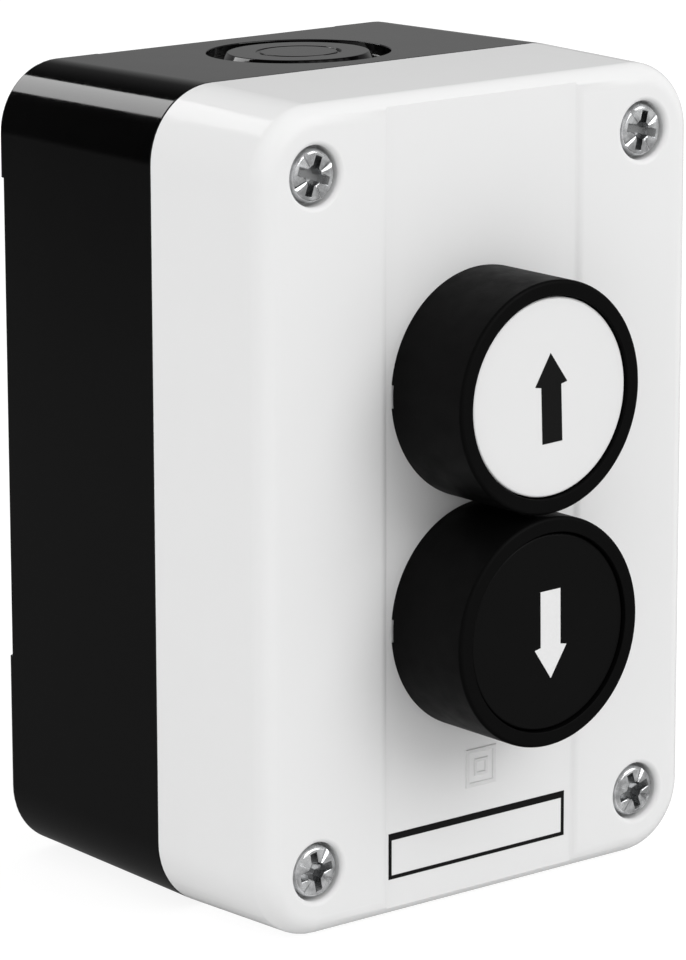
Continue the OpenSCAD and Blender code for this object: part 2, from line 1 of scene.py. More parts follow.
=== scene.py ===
"""Looks of a two-button control station in a wall box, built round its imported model."""
import json
import math

import bmesh
import bpy
from mathutils import Matrix, Vector


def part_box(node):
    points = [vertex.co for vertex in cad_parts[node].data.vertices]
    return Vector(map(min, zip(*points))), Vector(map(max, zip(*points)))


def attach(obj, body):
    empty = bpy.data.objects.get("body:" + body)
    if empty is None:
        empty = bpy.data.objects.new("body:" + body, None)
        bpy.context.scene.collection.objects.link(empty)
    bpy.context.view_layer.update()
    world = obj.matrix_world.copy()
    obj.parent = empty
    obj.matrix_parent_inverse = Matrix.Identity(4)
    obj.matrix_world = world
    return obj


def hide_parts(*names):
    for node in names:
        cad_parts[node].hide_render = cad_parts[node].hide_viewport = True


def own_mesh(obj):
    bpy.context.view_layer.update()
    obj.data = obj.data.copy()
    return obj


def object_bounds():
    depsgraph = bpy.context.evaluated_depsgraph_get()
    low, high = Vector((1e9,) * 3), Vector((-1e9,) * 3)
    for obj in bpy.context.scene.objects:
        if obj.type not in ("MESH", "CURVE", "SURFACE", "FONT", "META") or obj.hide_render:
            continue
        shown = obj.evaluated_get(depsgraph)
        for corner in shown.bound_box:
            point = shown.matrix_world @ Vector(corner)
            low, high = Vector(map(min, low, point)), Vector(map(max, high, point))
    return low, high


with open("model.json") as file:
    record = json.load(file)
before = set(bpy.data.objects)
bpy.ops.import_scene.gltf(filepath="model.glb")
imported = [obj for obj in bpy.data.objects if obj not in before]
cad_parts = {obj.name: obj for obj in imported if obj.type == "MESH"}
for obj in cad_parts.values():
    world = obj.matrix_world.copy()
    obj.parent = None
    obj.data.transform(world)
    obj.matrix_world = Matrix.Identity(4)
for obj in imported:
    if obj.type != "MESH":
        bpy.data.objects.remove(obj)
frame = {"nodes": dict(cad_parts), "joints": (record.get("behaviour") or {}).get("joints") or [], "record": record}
cad_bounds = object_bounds()

# Sizes, in metres

MM = 0.001
SIDES = ("upper", "lower")

# Each kind of screw. plain is how much of its shank has no thread
COVER_SCREW = {
    "head_r": 3.4 * MM, "head_h": 2.6 * MM, "shank_r": 1.75 * MM, "pitch": 1.25 * MM, "plain": 8 * MM,
}
TERMINAL_SCREW = {
    "head_r": 2.8 * MM, "head_h": 2 * MM, "shank_r": 1.7 * MM, "pitch": 0.6 * MM, "plain": 0.8 * MM,
}

# How far the cover screws are from the middle, sideways and up. Then how far each screw is turned, in
# degrees anticlockwise from the front, by its side and its height
COVER_SCREW_PLACE = (27 * MM, 44 * MM)
COVER_TURNS = {(-1, 1): -20, (1, 1): -14, (-1, -1): 10, (1, -1): 17}
TERMINAL_TURNS = {"upper": {-1: 12, 1: -25}, "lower": {-1: -8, 1: 33}}

# Parts of a screw's head, as shares of its radius: edge, dome, cross recess and four witness grooves
SCREW_RIM = 0.42
SCREW_EDGE = 0.17
SCREW_DOME = 0.03
RECESS_ARM = 0.74
RECESS_ARM_W = 0.15
RECESS_CORE = 0.36
RECESS_DEPTH = 0.46
RECESS_CHAMFER = 0.045
WITNESS_FROM = 0.36
WITNESS_TO = 0.94
WITNESS_INNER = 0.04
WITNESS_OUTER = 0.19

# Shares of other sizes: the recess's floor of its mouth, a groove's depth of half its width, and a
# thread's depth of its pitch
RECESS_TAPER = 0.72
WITNESS_SLOPE = 0.45
THREAD_DEPTH = 0.34

# How much of the recess's painted shade and dullness its mouth gets, as a share of its floor. Then the floor's
# painted shade, a darkened plating colour standing in for the shade in the recess, and its dullness
HOLLOW_AT_MOUTH = 0.6
RECESS_PAINTED_SHADE = 0.42
HOLLOW_DULL = 0.08

# Wire and number of turns of each kind of spring, and how far apart its closed end turns lie, in wires
SPRINGS = {"return": (0.8 * MM, 6), "carrier": (0.5 * MM, 5), "contact": (0.35 * MM, 5)}
CLOSED_TURN = 1.06
STEPS_A_TURN = 32

# Silver rivets in the brass strips: how far they are aside, and above or below mid-height
RIVET_ASIDE = 5.8 * MM
RIVET_HEIGHT = 15 * MM
RIVET_R = 1.2 * MM
RIVET_EDGE = 0.06 * MM

# Shells: their long corners at the parting edge, the lean of the rear walls and the channel of the cover
CORNER_R = 9.5 * MM
REAR_DRAFT = 0.57 * MM
CHANNEL_DEPTH = 0.45 * MM

# Reach of what has edges to round: outer skins, screw posts, break-out entry and its drill mark
REAR_SKIN = 1 * MM
COVER_SKIN = 0.7 * MM
POST_REACH = 9 * MM
ENTRY_REACH = 13 * MM
ENTRY_DEPTH = 2.2 * MM
DRILL_MARK_REACH = 8 * MM
DRILL_MARK_FLOOR = 0.41 * MM
RIM_R = 12.8 * MM

# Roundings that a mould leaves on its sharp edges
PARTING_EDGE = 0.2 * MM
ENTRY_EDGE = 0.14 * MM
DRILL_MARK_EDGE = 0.05 * MM
RIM_EDGE = 0.15 * MM

# Printed arrows on the caps, with each one's centre and how far it is turned
PRINT_H = 0.04 * MM
ARROW_L = 11.4 * MM
ARROW_SHAFT_W = 3.3 * MM
ARROW_HEAD_W = 5.3 * MM
ARROW_HEAD_L = 4.17 * MM
ARROW_SWEEP = 0.19 * MM
ARROW_PLACES = {"upper": (0.3 * MM, 14.92 * MM, 2), "lower": (0.43 * MM, -15.34 * MM, 180.7)}

# Printed label frame, and the raised double square
LABEL_W = 29.8 * MM
LABEL_H = 6.05 * MM
LABEL_LINE = 0.5 * MM
LABEL_TOP_LINE = 0.9 * MM
LABEL_PLACE = (-0.35 * MM, -44.52 * MM)
SIGN_W = 5.2 * MM
SIGN_LINE = 0.72 * MM
SIGN_INNER_W = 2.4 * MM
SIGN_INNER_LINE = 0.6 * MM
SIGN_H = 0.16 * MM
SIGN_SLOPE = 0.14 * MM
SIGN_PLACE = (0.16 * MM, -35.42 * MM)

# Patches of tone and gloss, grain and sink marks of plastic, wear and tool marks of metal, and ink
TONE_PATCH = 9 * MM
GLOSS_PATCH = 2.4 * MM
GRAIN = 0.32 * MM
SINK_MARK = 14 * MM
WEAR_PATCH = 1.6 * MM
TOOL_MARK = 0.25 * MM
INK_PATCH = 0.5 * MM
INK_GRAIN = 0.2 * MM
INK_RELIEF = 0.003 * MM
INK_ROUGHNESS = (0.42, 0.52)
INK_THIN = 0.97

# Camera, in degrees and metres, with its focal length in pixels of the photograph
PHOTO_HEIGHT = 960
FOCAL_PIXELS = 4817
SENSOR = 36
CAMERA_YAW = 39.451
CAMERA_PITCH = 13.269
CAMERA_ROLL = -0.145
CAMERA_DISTANCE = 0.608247
CAMERA_ASIDE = -0.0177
CAMERA_ABOVE = 0.00223

# Light from the world at the horizon and straight above
SKY_LOW = 0.53
SKY_HIGH = 0.97

# The dark studio that gloss sees. Each part starts and is full at places along one axis
STUDIO_BEHIND = {"start": 0.2, "full": 0.5, "strength": 1}
STUDIO_RIGHT_HAZE = {"start": 0.1, "full": 0.42, "strength": 0.07, "smooth": False}
STUDIO_RIGHT_WALL = {"start": 0.42, "full": 0.62, "strength": 0.19}
STUDIO_BELOW = {"start": -0.06, "full": -0.24, "strength": 0.11}
STUDIO_FRONT = {"start": -0.1, "full": -0.6, "strength": 0.5}
STUDIO_SQUARE_ON = {"start": 0.8, "full": 1, "strength": 0.3}

# Floor: half its width, its grey, its own glow, and how much of the glow the light and the camera get
FLOOR_REACH = 3
FLOOR_GREY = 0.6
FLOOR_GLOW = 1.3
FLOOR_GLOW_LIT = 0.25
FLOOR_GLOW_SEEN = 0.68

# Places read from the frame

rear_low, rear_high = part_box("rear_shell")
cover_low, cover_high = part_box("front_cover")
cap_face = {side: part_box(side + "_cap")[0].y for side in SIDES}
channel_y = cover_low.y + CHANNEL_DEPTH
mounts = {mount["name"]: mount["pos_m"] for mount in frame["record"]["mounts"]}
entry_y = mounts["top_entry"][1]


# Node helpers

def add_node(tree, kind, inputs=None, **settings):
    """A node with its settings, and its inputs given by name or number."""
    node = tree.nodes.new(kind)
    for name, value in settings.items():
        setattr(node, name, value)
    for key, value in (inputs or {}).items():
        if isinstance(value, bpy.types.NodeSocket):
            tree.links.new(value, node.inputs[key])
        else:
            node.inputs[key].default_value = value
    return node


def maths(tree, operation, *values):
    """The result of a Math node."""
    return add_node(tree, "ShaderNodeMath", dict(enumerate(values)), operation=operation).outputs[0]


def ramp(tree, value, start, end, low, high, smooth=False):
    """value taken from the range start to end into the range low to high, and held there."""
    inputs = {"Value": value, "From Min": start, "From Max": end, "To Min": low, "To Max": high}
    kind = "SMOOTHSTEP" if smooth else "LINEAR"
    return add_node(tree, "ShaderNodeMapRange", inputs, interpolation_type=kind).outputs["Result"]


def mixed_shader(tree, share, first, second):
    """One shader, with a share of another."""
    return add_node(tree, "ShaderNodeMixShader", {0: share, 1: first, 2: second}).outputs[0]


# Finishes

def grey(level):
    """A linear grey from a brightness of 0 to 255 on the screen."""
    return (((level / 255 + 0.055) / 1.055) ** 2.4,) * 3


def shaded(colour, share):
    """A colour times a share, no brighter than white."""
    return tuple(min(1, part * share) for part in colour)


def noise(tree, size, detail=2, stretch=(1, 1, 1)):
    """Noise in the piece's own space, with patches about as wide as size."""
    place = add_node(tree, "ShaderNodeTexCoord").outputs["Object"]
    if stretch != (1, 1, 1):
        place = add_node(tree, "ShaderNodeMapping", {"Vector": place, "Scale": stretch}).outputs[0]
    inputs = {"Vector": place, "Scale": 1 / size, "Detail": detail}
    return add_node(tree, "ShaderNodeTexNoise", inputs).outputs[0]


def patches(tree, size, detail, low=0, high=1, reach=0.2):
    """Noise spread from low to high, and clipped past that reach from its middle."""
    return ramp(tree, noise(tree, size, detail), 0.5 - reach, 0.5 + reach, low, high)


def two_tones(tree, factor, first, second):
    """A colour between two others. The first may come from another node."""
    if not isinstance(first, bpy.types.NodeSocket):
        first = (*first, 1)
    inputs = {0: factor, 6: first, 7: (*second, 1)}
    return add_node(tree, "ShaderNodeMix", inputs, data_type="RGBA").outputs[2]


def relief(tree, height, depth, below=None):
    """A bump of that depth in metres, on top of another one."""
    inputs = {"Height": height, "Distance": depth, "Strength": 1}
    if below is not None:
        inputs["Normal"] = below
    return add_node(tree, "ShaderNodeBump", inputs).outputs["Normal"]


def start_finish(name, metallic=0, specular=0.5):
    """A new material, its node tree and its shader."""
    material = bpy.data.materials.new(name)
    material.use_nodes = True
    shader = material.node_tree.nodes["Principled BSDF"]
    shader.inputs["Metallic"].default_value = metallic
    shader.inputs["Specular IOR Level"].default_value = specular
    return material, material.node_tree, shader


def link_finish(tree, shader, colour, gloss, normal):
    """Gives a shader its colour, roughness and relief from nodes."""
    tree.links.new(colour, shader.inputs["Base Color"])
    tree.links.new(gloss, shader.inputs["Roughness"])
    tree.links.new(normal, shader.inputs["Normal"])


def moulded(name, colour, roughness, grain, sink=0, specular=0.5, tone=0.04, spread=0.06):
    """Moulded plastic: a fine grain, a slow waviness and a slightly uneven gloss."""
    material, tree, shader = start_finish(name, specular=specular)
    tones = patches(tree, TONE_PATCH, 3)
    base = two_tones(tree, tones, shaded(colour, 1 - tone), shaded(colour, 1 + tone))
    gloss = patches(tree, GLOSS_PATCH, 4, roughness - spread, roughness + spread)
    normal = relief(tree, noise(tree, GRAIN), grain)
    if sink:
        normal = relief(tree, noise(tree, SINK_MARK, 1), sink, normal)
    link_finish(tree, shader, base, gloss, normal)
    return material


def metal(name, colour, roughness, drawn=(1, 1, 1), scratch=0.004 * MM, spread=0.08, worn=0.14):
    """Metal with fine tool marks and worn patches. In a screw's recess it is duller, and its colour is darkened
    there as painted shade.
    """
    material, tree, shader = start_finish(name, metallic=1)
    wear = patches(tree, WEAR_PATCH, 4, reach=0.15)
    hollow = add_node(tree, "ShaderNodeAttribute", attribute_name="hollow").outputs["Fac"]
    plating = two_tones(tree, wear, shaded(colour, 1 - worn), colour)
    gloss = ramp(tree, wear, 0, 1, roughness - spread, roughness + spread)
    marks = noise(tree, TOOL_MARK, 3, drawn)
    # Painted shade: the plating colour is darkened towards the floor of the recess
    link_finish(tree, shader, two_tones(tree, hollow, plating, shaded(colour, RECESS_PAINTED_SHADE)),
                maths(tree, "MULTIPLY_ADD", hollow, HOLLOW_DULL, gloss), relief(tree, marks, scratch))
    return material


def ink(name, colour):
    """Printed ink: slightly uneven cover and a dull sheen."""
    material, tree, shader = start_finish(name, specular=0.15)
    cover = patches(tree, INK_PATCH, 3)
    link_finish(tree, shader, two_tones(tree, cover, shaded(colour, INK_THIN), colour),
                ramp(tree, cover, 0, 1, *INK_ROUGHNESS), relief(tree, noise(tree, INK_GRAIN), INK_RELIEF))
    return material


def contact_metal(name):
    """Brass strip, with silver where its contact rivets sit."""
    material = metal(name, (0.62, 0.44, 0.19), 0.32, drawn=(0.1, 1, 1))
    tree = material.node_tree
    base = tree.nodes["Principled BSDF"].inputs["Base Color"]
    place = add_node(tree, "ShaderNodeTexCoord").outputs["Object"]
    x, y, z = add_node(tree, "ShaderNodeSeparateXYZ", {0: place}).outputs
    aside = maths(tree, "SUBTRACT", maths(tree, "ABSOLUTE", x), RIVET_ASIDE)
    above = maths(tree, "SUBTRACT", maths(tree, "ABSOLUTE", z), RIVET_HEIGHT)
    offset = add_node(tree, "ShaderNodeCombineXYZ", {"X": aside, "Z": above}).outputs[0]
    apart = add_node(tree, "ShaderNodeVectorMath", {0: offset}, operation="LENGTH").outputs["Value"]
    rivet = ramp(tree, apart, RIVET_R, RIVET_R + RIVET_EDGE, 1, 0)
    silver = (0.86, 0.86, 0.84)
    tree.links.new(two_tones(tree, rivet, base.links[0].from_socket, silver), base)
    return material


PLASTICS = {
    "black_shell": {"colour": grey(5), "roughness": 0.08, "grain": 0.001 * MM, "sink": 0.03 * MM,
                    "spread": 0.02},
    "white_shell": {"colour": grey(227), "roughness": 0.13, "grain": 0.0006 * MM, "specular": 0.11,
                    "tone": 0.003, "spread": 0.01},
    "black_head": {"colour": grey(7), "roughness": 0.5, "grain": 0.012 * MM, "specular": 0.05},
    "white_cap": {"colour": grey(223), "roughness": 0.3, "grain": 0.0006 * MM, "tone": 0.003,
                  "spread": 0.02},
    "black_cap": {"colour": grey(7), "roughness": 0.45, "grain": 0.01 * MM, "specular": 0.08},
    "seal_rubber": {"colour": grey(48), "roughness": 0.72, "grain": 0.03 * MM, "specular": 0.3},
    "grey_nut": {"colour": grey(112), "roughness": 0.5, "grain": 0.02 * MM},
    "ivory_plunger": {"colour": (0.68, 0.65, 0.56), "roughness": 0.42, "grain": 0.01 * MM},
    "block_plastic": {"colour": (0.03, 0.032, 0.036), "roughness": 0.48, "grain": 0.02 * MM},
    "green_carrier": {"colour": (0.06, 0.28, 0.11), "roughness": 0.45, "grain": 0.012 * MM},
}
METALS = {
    "zinc_screws": {"colour": (0.92, 0.93, 0.94), "roughness": 0.2, "scratch": 0.012 * MM, "worn": 0.5},
    "spring_steel": {"colour": (0.55, 0.56, 0.58), "roughness": 0.26, "drawn": (1, 0.2, 1)},
}
# The last finish, for the raised double square moulded in the cover, is a greyer tone than the cover as painted
# shade for its raised lines
INKS = {"black_ink": grey(8), "white_ink": grey(224), "sign_paint": grey(220)}


def make_finishes():
    """Every finish of the station, by the record's slot names and a few of its own."""
    made = {name: moulded(name, **settings) for name, settings in PLASTICS.items()}
    made.update({name: metal(name, **settings) for name, settings in METALS.items()})
    made.update({name: ink(name, colour) for name, colour in INKS.items()})
    made["contact_brass"] = contact_metal("contact_brass")
    return made


finishes = make_finishes()


# Mesh helpers

def show(name, mesh):
    """A new object with that mesh, at the origin."""
    piece = bpy.data.objects.new(name, mesh)
    mesh.name = name
    bpy.context.scene.collection.objects.link(piece)
    return piece


def show_built(name, bm):
    """A new object with the closed mesh that was built, its faces turned outwards."""
    bmesh.ops.recalc_face_normals(bm, faces=bm.faces)
    mesh = bpy.data.meshes.new(name)
    bm.to_mesh(mesh)
    bm.free()
    return show(name, mesh)


def add_band(bm, first, second):
    """Faces between two closed loops of as many points."""
    count = len(first)
    for k in range(count):
        bm.faces.new((first[k], first[(k + 1) % count], second[(k + 1) % count], second[k]))


def settle(piece):
    """Puts what the modifiers make into the piece's own mesh and takes them off."""
    name = piece.name
    graph = bpy.context.evaluated_depsgraph_get()
    mesh = bpy.data.meshes.new_from_object(piece.evaluated_get(graph))
    piece.modifiers.clear()
    piece.data = mesh
    mesh.name = name
    return piece


def dress(piece, finish, body, *nodes, slot=None):
    """Gives a piece its finish and its body, and hides the nodes it stands for."""
    piece.data.materials.clear()
    piece.data.materials.append(finishes[finish])
    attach(piece, body)
    if nodes:
        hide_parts(*nodes)


def round_off(piece):
    """Rounds the edges that carry a weight, and evens out the shading of the flats beside them."""
    bevel = piece.modifiers.new("edges", "BEVEL")
    bevel.limit_method = "WEIGHT"
    bevel.width = 1 * MM
    bevel.segments = 2
    bevel.use_clamp_overlap = False
    shading = piece.modifiers.new("shading", "WEIGHTED_NORMAL")
    shading.keep_sharp = True
    shading.weight = 100
    return settle(piece)


def crease(bm, edge_width, sharp=32):
    """Marks the sharp edges, and gives each one the width of its rounding in millimetres as its weight."""
    weight = bm.edges.layers.float.new("bevel_weight_edge")
    for face in bm.faces:
        face.smooth = True
    for edge in bm.edges:
        if edge.calc_face_angle(0) < math.radians(sharp):
            continue
        width = edge_width((edge.verts[0].co + edge.verts[1].co) / 2)
        edge.smooth = width > 0
        edge[weight] = width / MM


def joined_copy(node, name, edge_width, merge=0.001 * MM, flat=0.4):
    """A node's mesh with its corners merged, its flats made whole and its outer edges rounded."""
    mesh = frame["nodes"][node].data.copy()
    if "custom_normal" in mesh.attributes:
        mesh.attributes.remove(mesh.attributes["custom_normal"])
    bm = bmesh.new()
    bm.from_mesh(mesh)
    bmesh.ops.remove_doubles(bm, verts=bm.verts, dist=merge)
    bmesh.ops.dissolve_limit(bm, angle_limit=math.radians(flat), verts=bm.verts, edges=bm.edges)
    crease(bm, edge_width)
    bm.to_mesh(mesh)
    bm.free()
    return round_off(show(name, mesh))


def smooth_by_angle(piece, degrees=35):
    """Smooth shading, with an edge wherever faces meet at more than that angle."""
    bm = bmesh.new()
    bm.from_mesh(piece.data)
    for face in bm.faces:
        face.smooth = True
    for edge in bm.edges:
        edge.smooth = edge.calc_face_angle(0) < math.radians(degrees)
    bm.to_mesh(piece.data)
    bm.free()


def cut(piece, cutter):
    """Cuts one shape out of another and deletes the cutter."""
    knife = piece.modifiers.new("cut", "BOOLEAN")
    knife.operation = "DIFFERENCE"
    knife.solver = "EXACT"
    knife.object = cutter
    knife.use_self = True
    settle(piece)
    bpy.data.objects.remove(cutter)


def lathe(name, profile, steps=64):
    """A closed turned piece round the Y axis. The profile is (radius, y), and ends on the axis."""
    bm = bmesh.new()
    rings = []
    for radius, y in profile:
        turns = [2 * math.pi * k / steps for k in range(steps)] if radius else [0]
        rings.append([bm.verts.new((radius * math.cos(a), y, radius * math.sin(a))) for a in turns])
    for first, second in zip(rings, rings[1:]):
        for k in range(steps):
            corners = [ring[i % len(ring)] for ring, i in
                       ((first, k), (first, k + 1), (second, k + 1), (second, k))]
            bm.faces.new(list(dict.fromkeys(corners)))
    return show_built(name, bm)


def prism(name, outline, low, high):
    """A closed flat piece between two y values, from a loop of (x, z) points."""
    bm = bmesh.new()
    face = bm.faces.new([bm.verts.new((x, low, z)) for x, z in outline])
    copied = bmesh.ops.extrude_face_region(bm, geom=[face])["geom"]
    moved = [part for part in copied if isinstance(part, bmesh.types.BMVert)]
    bmesh.ops.translate(bm, verts=moved, vec=(0, high - low, 0))
    return show_built(name, bm)


def framed(name, frames, low, high, slope=0, top_line=0):
    """Flat rectangular frames between two y values. Each is (centre, width, height, line)."""
    bm = bmesh.new()
    for (x, z), width, height, line in frames:
        rings = []
        for y, inset in ((low, 0), (low, line), (high, line - slope), (high, slope)):
            w, h = width / 2 - inset, height / 2 - inset
            top = height / 2 - top_line if top_line and inset else h
            corners = ((x - w, z - h), (x + w, z - h), (x + w, z + top), (x - w, z + top))
            rings.append([bm.verts.new((a, y, b)) for a, b in corners])
        for first, second in zip(rings, rings[1:] + rings[:1]):
            add_band(bm, first, second)
    return show_built(name, bm)


# Geometry Nodes helpers

def start_tree(name, sockets):
    """A geometry tree with named inputs. sockets is a list of (name, type, default)."""
    tree = bpy.data.node_groups.new(name, "GeometryNodeTree")
    tree.interface.new_socket("Geometry", in_out="INPUT", socket_type="NodeSocketGeometry")
    for label, kind, default in sockets:
        socket = tree.interface.new_socket(label, in_out="INPUT", socket_type="NodeSocket" + kind)
        if default is not None:
            socket.default_value = default
    tree.interface.new_socket("Geometry", in_out="OUTPUT", socket_type="NodeSocketGeometry")
    return tree, add_node(tree, "NodeGroupInput").outputs


def end_tree(tree, geometry, finish):
    """Realizes what a tree made, gives it its material and ends the tree."""
    real = add_node(tree, "GeometryNodeRealizeInstances", {0: geometry}).outputs[0]
    painted = add_node(tree, "GeometryNodeSetMaterial", {"Geometry": real, "Material": finish}).outputs[0]
    add_node(tree, "NodeGroupOutput", {0: painted})


def grown(name, tree, values, start=None):
    """What a tree makes from those values, as a plain mesh object."""
    piece = show(name, start or bpy.data.meshes.new(name))
    nodes = piece.modifiers.new("nodes", "NODES")
    nodes.node_group = tree
    for item in tree.interface.items_tree:
        if item.in_out == "INPUT" and item.name in values:
            nodes[item.identifier] = values[item.name]
    return settle(piece)


def screw_set_tree():
    """Puts one screw on each point, turned by the point's own angle about the screw's axis."""
    tree, given = start_tree("screw_set", [("Screw", "Object", None), ("Finish", "Material", None)])
    screw = add_node(tree, "GeometryNodeObjectInfo", {"Object": given["Screw"]}).outputs["Geometry"]
    turn = add_node(tree, "GeometryNodeInputNamedAttribute", {"Name": "turn"}, data_type="FLOAT")
    angles = add_node(tree, "ShaderNodeCombineXYZ", {"Y": turn.outputs["Attribute"]}).outputs[0]
    inputs = {"Points": given["Geometry"], "Instance": screw, "Rotation": angles}
    placed = add_node(tree, "GeometryNodeInstanceOnPoints", inputs).outputs[0]
    end_tree(tree, placed, given["Finish"])
    return tree


def coil_tree():
    """A coil spring that stands on Place and grows along -Y, with one closed turn at each end."""
    tree, given = start_tree("coil", [
        ("Place", "Vector", (0, 0, 0)), ("Wire", "Float", 0.8 * MM), ("Coil", "Float", 16 * MM),
        ("Length", "Float", 12 * MM), ("Turns", "Float", 6), ("Steps", "Int", 200),
        ("Finish", "Material", None)])
    line = add_node(tree, "GeometryNodeCurvePrimitiveLine").outputs[0]
    inputs = {"Curve": line, "Count": given["Steps"]}
    points = add_node(tree, "GeometryNodeResampleCurve", inputs).outputs[0]
    along = add_node(tree, "GeometryNodeSplineParameter").outputs["Factor"]
    turn = maths(tree, "MULTIPLY", along, given["Turns"])
    last = maths(tree, "SUBTRACT", given["Turns"], 1)
    closed = maths(tree, "MULTIPLY", given["Wire"], CLOSED_TURN)
    both = maths(tree, "MULTIPLY_ADD", closed, 2, given["Wire"])
    free = maths(tree, "SUBTRACT", given["Length"], both)
    wire_r = maths(tree, "MULTIPLY", given["Wire"], 0.5)
    rise = wire_r
    for start, end, gain in ((0, 1, closed), (1, last, free), (last, given["Turns"], closed)):
        rise = maths(tree, "ADD", rise, ramp(tree, turn, start, end, 0, gain))
    angle = maths(tree, "MULTIPLY", turn, 2 * math.pi)
    coil_r = maths(tree, "MULTIPLY", given["Coil"], 0.5)
    inputs = {
        "X": maths(tree, "MULTIPLY", coil_r, maths(tree, "COSINE", angle)),
        "Y": maths(tree, "MULTIPLY", rise, -1),
        "Z": maths(tree, "MULTIPLY", coil_r, maths(tree, "SINE", angle)),
    }
    local = add_node(tree, "ShaderNodeCombineXYZ", inputs).outputs[0]
    inputs = {0: local, 1: given["Place"]}
    place = add_node(tree, "ShaderNodeVectorMath", inputs, operation="ADD").outputs[0]
    path = add_node(tree, "GeometryNodeSetPosition", {"Geometry": points, "Position": place}).outputs[0]
    inputs = {"Resolution": 12, "Radius": wire_r}
    section = add_node(tree, "GeometryNodeCurvePrimitiveCircle", inputs).outputs[0]
    inputs = {"Curve": path, "Profile Curve": section, "Fill Caps": True}
    wire = add_node(tree, "GeometryNodeCurveToMesh", inputs).outputs[0]
    end_tree(tree, wire, given["Finish"])
    return tree


# Shells

def near(value, target, slack=0.01 * MM):
    """True if a coordinate lies at a target, give or take the slack."""
    return abs(value - target) < slack


def from_corner(place):
    """How far a place is past the axis of the nearest long corner of the box, sideways and up."""
    return abs(place.x) - rear_high.x + CORNER_R, abs(place.z) - rear_high.z + CORNER_R


def at_parting(place, parting_y, high, skin):
    """True for an edge at the parting plane that is in the outer skin, or clear of the screw posts."""
    outside = abs(place.x) > high.x - skin or abs(place.z) > high.z - skin
    clear_of_posts = math.hypot(*from_corner(place)) > POST_REACH
    return near(place.y, parting_y) and (outside or clear_of_posts)


def rear_edge(place):
    """Width of the rounding of the rear shell's edges at a place: the parting plane and the entries."""
    if at_parting(place, rear_low.y, rear_high, REAR_SKIN):
        return PARTING_EDGE
    sunk = rear_high.z - abs(place.z)
    aside = math.hypot(place.x, place.y - entry_y)
    if sunk > ENTRY_DEPTH or aside > ENTRY_REACH:
        return 0
    in_mark_floor = aside < DRILL_MARK_REACH and sunk > DRILL_MARK_FLOOR
    return DRILL_MARK_EDGE if in_mark_floor else ENTRY_EDGE


def cover_edge(place):
    """Width of the rounding of the cover's edge at a place: at the parting plane."""
    return PARTING_EDGE if at_parting(place, cover_high.y, cover_high, COVER_SKIN) else 0


def true_corners(shell):
    """Gives the long corners of the rear shell the normals of their cones, so they reflect cleanly."""
    mesh = shell.data
    lean = REAR_DRAFT / (rear_high.y - rear_low.y)
    normals = [Vector(corner.vector) for corner in mesh.corner_normals]
    for loop, normal in zip(mesh.loops, normals):
        place = mesh.vertices[loop.vertex_index].co
        x, z = from_corner(place)
        radius = CORNER_R - lean * (place.y - rear_low.y)
        on_corner = min(x, z) > 0 and near(math.hypot(x, z), radius, 0.1 * MM)
        if on_corner and abs(normal.y) < 0.2:
            normal.x = math.copysign(x, place.x)
            normal.y = radius * lean
            normal.z = math.copysign(z, place.z)
            normal.normalize()
    mesh.normals_split_custom_set(normals)


def add_shells():
    """The rear shell and the cover."""
    rear = joined_copy("rear_shell", "rear_shell_moulding", rear_edge)
    true_corners(rear)
    dress(rear, "black_shell", "enclosure", "rear_shell")
    cover = joined_copy("front_cover", "front_cover_moulding", cover_edge)
    dress(cover, "white_shell", "enclosure", "front_cover")


# Heads

def add_heads():
    """The bezels, with the inner edge of the rim rounded."""
    for side in SIDES:
        low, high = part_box(side + "_bezel")
        centre_z = (low.z + high.z) / 2

        def rim_edge(place):
            inner = near(math.hypot(place.x, place.z - centre_z), RIM_R, 0.1 * MM)
            return RIM_EDGE if near(place.y, low.y) and inner else 0

        bezel = joined_copy(side + "_bezel", side + "_bezel_turned", rim_edge)
        dress(bezel, "black_head", "enclosure", side + "_bezel")


# Screws

def screw_profile(length, head_r, head_h, shank_r, pitch, plain, dome_steps=6, edge_steps=8):
    """Half outline of a pan head screw with a thread, (radius, y), its head towards -Y."""
    flat_r = head_r * (1 - SCREW_EDGE)
    dome_h = head_r * SCREW_DOME
    edge_h = head_h - dome_h - head_r * SCREW_RIM
    shares = [k / dome_steps for k in range(dome_steps)]
    points = [(flat_r * share, -head_h + dome_h * share ** 2) for share in shares]
    for k in range(edge_steps + 1):
        turn = math.pi / 2 * k / edge_steps
        points.append((flat_r + head_r * SCREW_EDGE * math.sin(turn),
                       -head_h + dome_h + edge_h * (1 - math.cos(turn))))
    points += [(head_r, 0), (shank_r, 0), (shank_r, plain)]
    root_r = shank_r - THREAD_DEPTH * pitch
    y = plain
    while y + pitch < length - shank_r:
        points.append((root_r, y + pitch / 2))
        points.append((shank_r, y + pitch))
        y += pitch
    points += [(root_r, length - shank_r / 2), (0, length)]
    return points


def recess_outline(head_r, grow=0):
    """The cross of a recess, (x, z): four arms, and between them the corners of a square core."""
    arm, half_w = (RECESS_ARM + grow) * head_r, (RECESS_ARM_W + grow) * head_r
    core = (RECESS_CORE + grow) * head_r / math.sqrt(2)
    neck = core + half_w / 2
    quarter = [(arm, -half_w), (arm, half_w), (neck, half_w), (core, core), (half_w, neck)]
    turns = [Matrix.Rotation(math.pi / 2 * k, 2) for k in range(4)]
    return [tuple(turn @ Vector(point)) for turn in turns for point in quarter]


def recess_cutter(name, head_r, head_h, above=0.02):
    """What cuts the cross recess: a chamfer at the head's top, then walls that taper towards the floor."""
    bm = bmesh.new()
    loops = []
    for depth, grow, share in ((-above, RECESS_CHAMFER + above, 1), (RECESS_CHAMFER, 0, 1),
                               (RECESS_DEPTH, 0, RECESS_TAPER)):
        y = -head_h + depth * head_r
        loops.append([bm.verts.new((x * share, y, z * share)) for x, z in recess_outline(head_r, grow)])
    ends = [bm.faces.new(loops[0]), bm.faces.new(loops[-1])]
    for first, second in zip(loops, loops[1:]):
        add_band(bm, first, second)
    bmesh.ops.triangulate(bm, faces=ends)
    return show_built(name, bm)


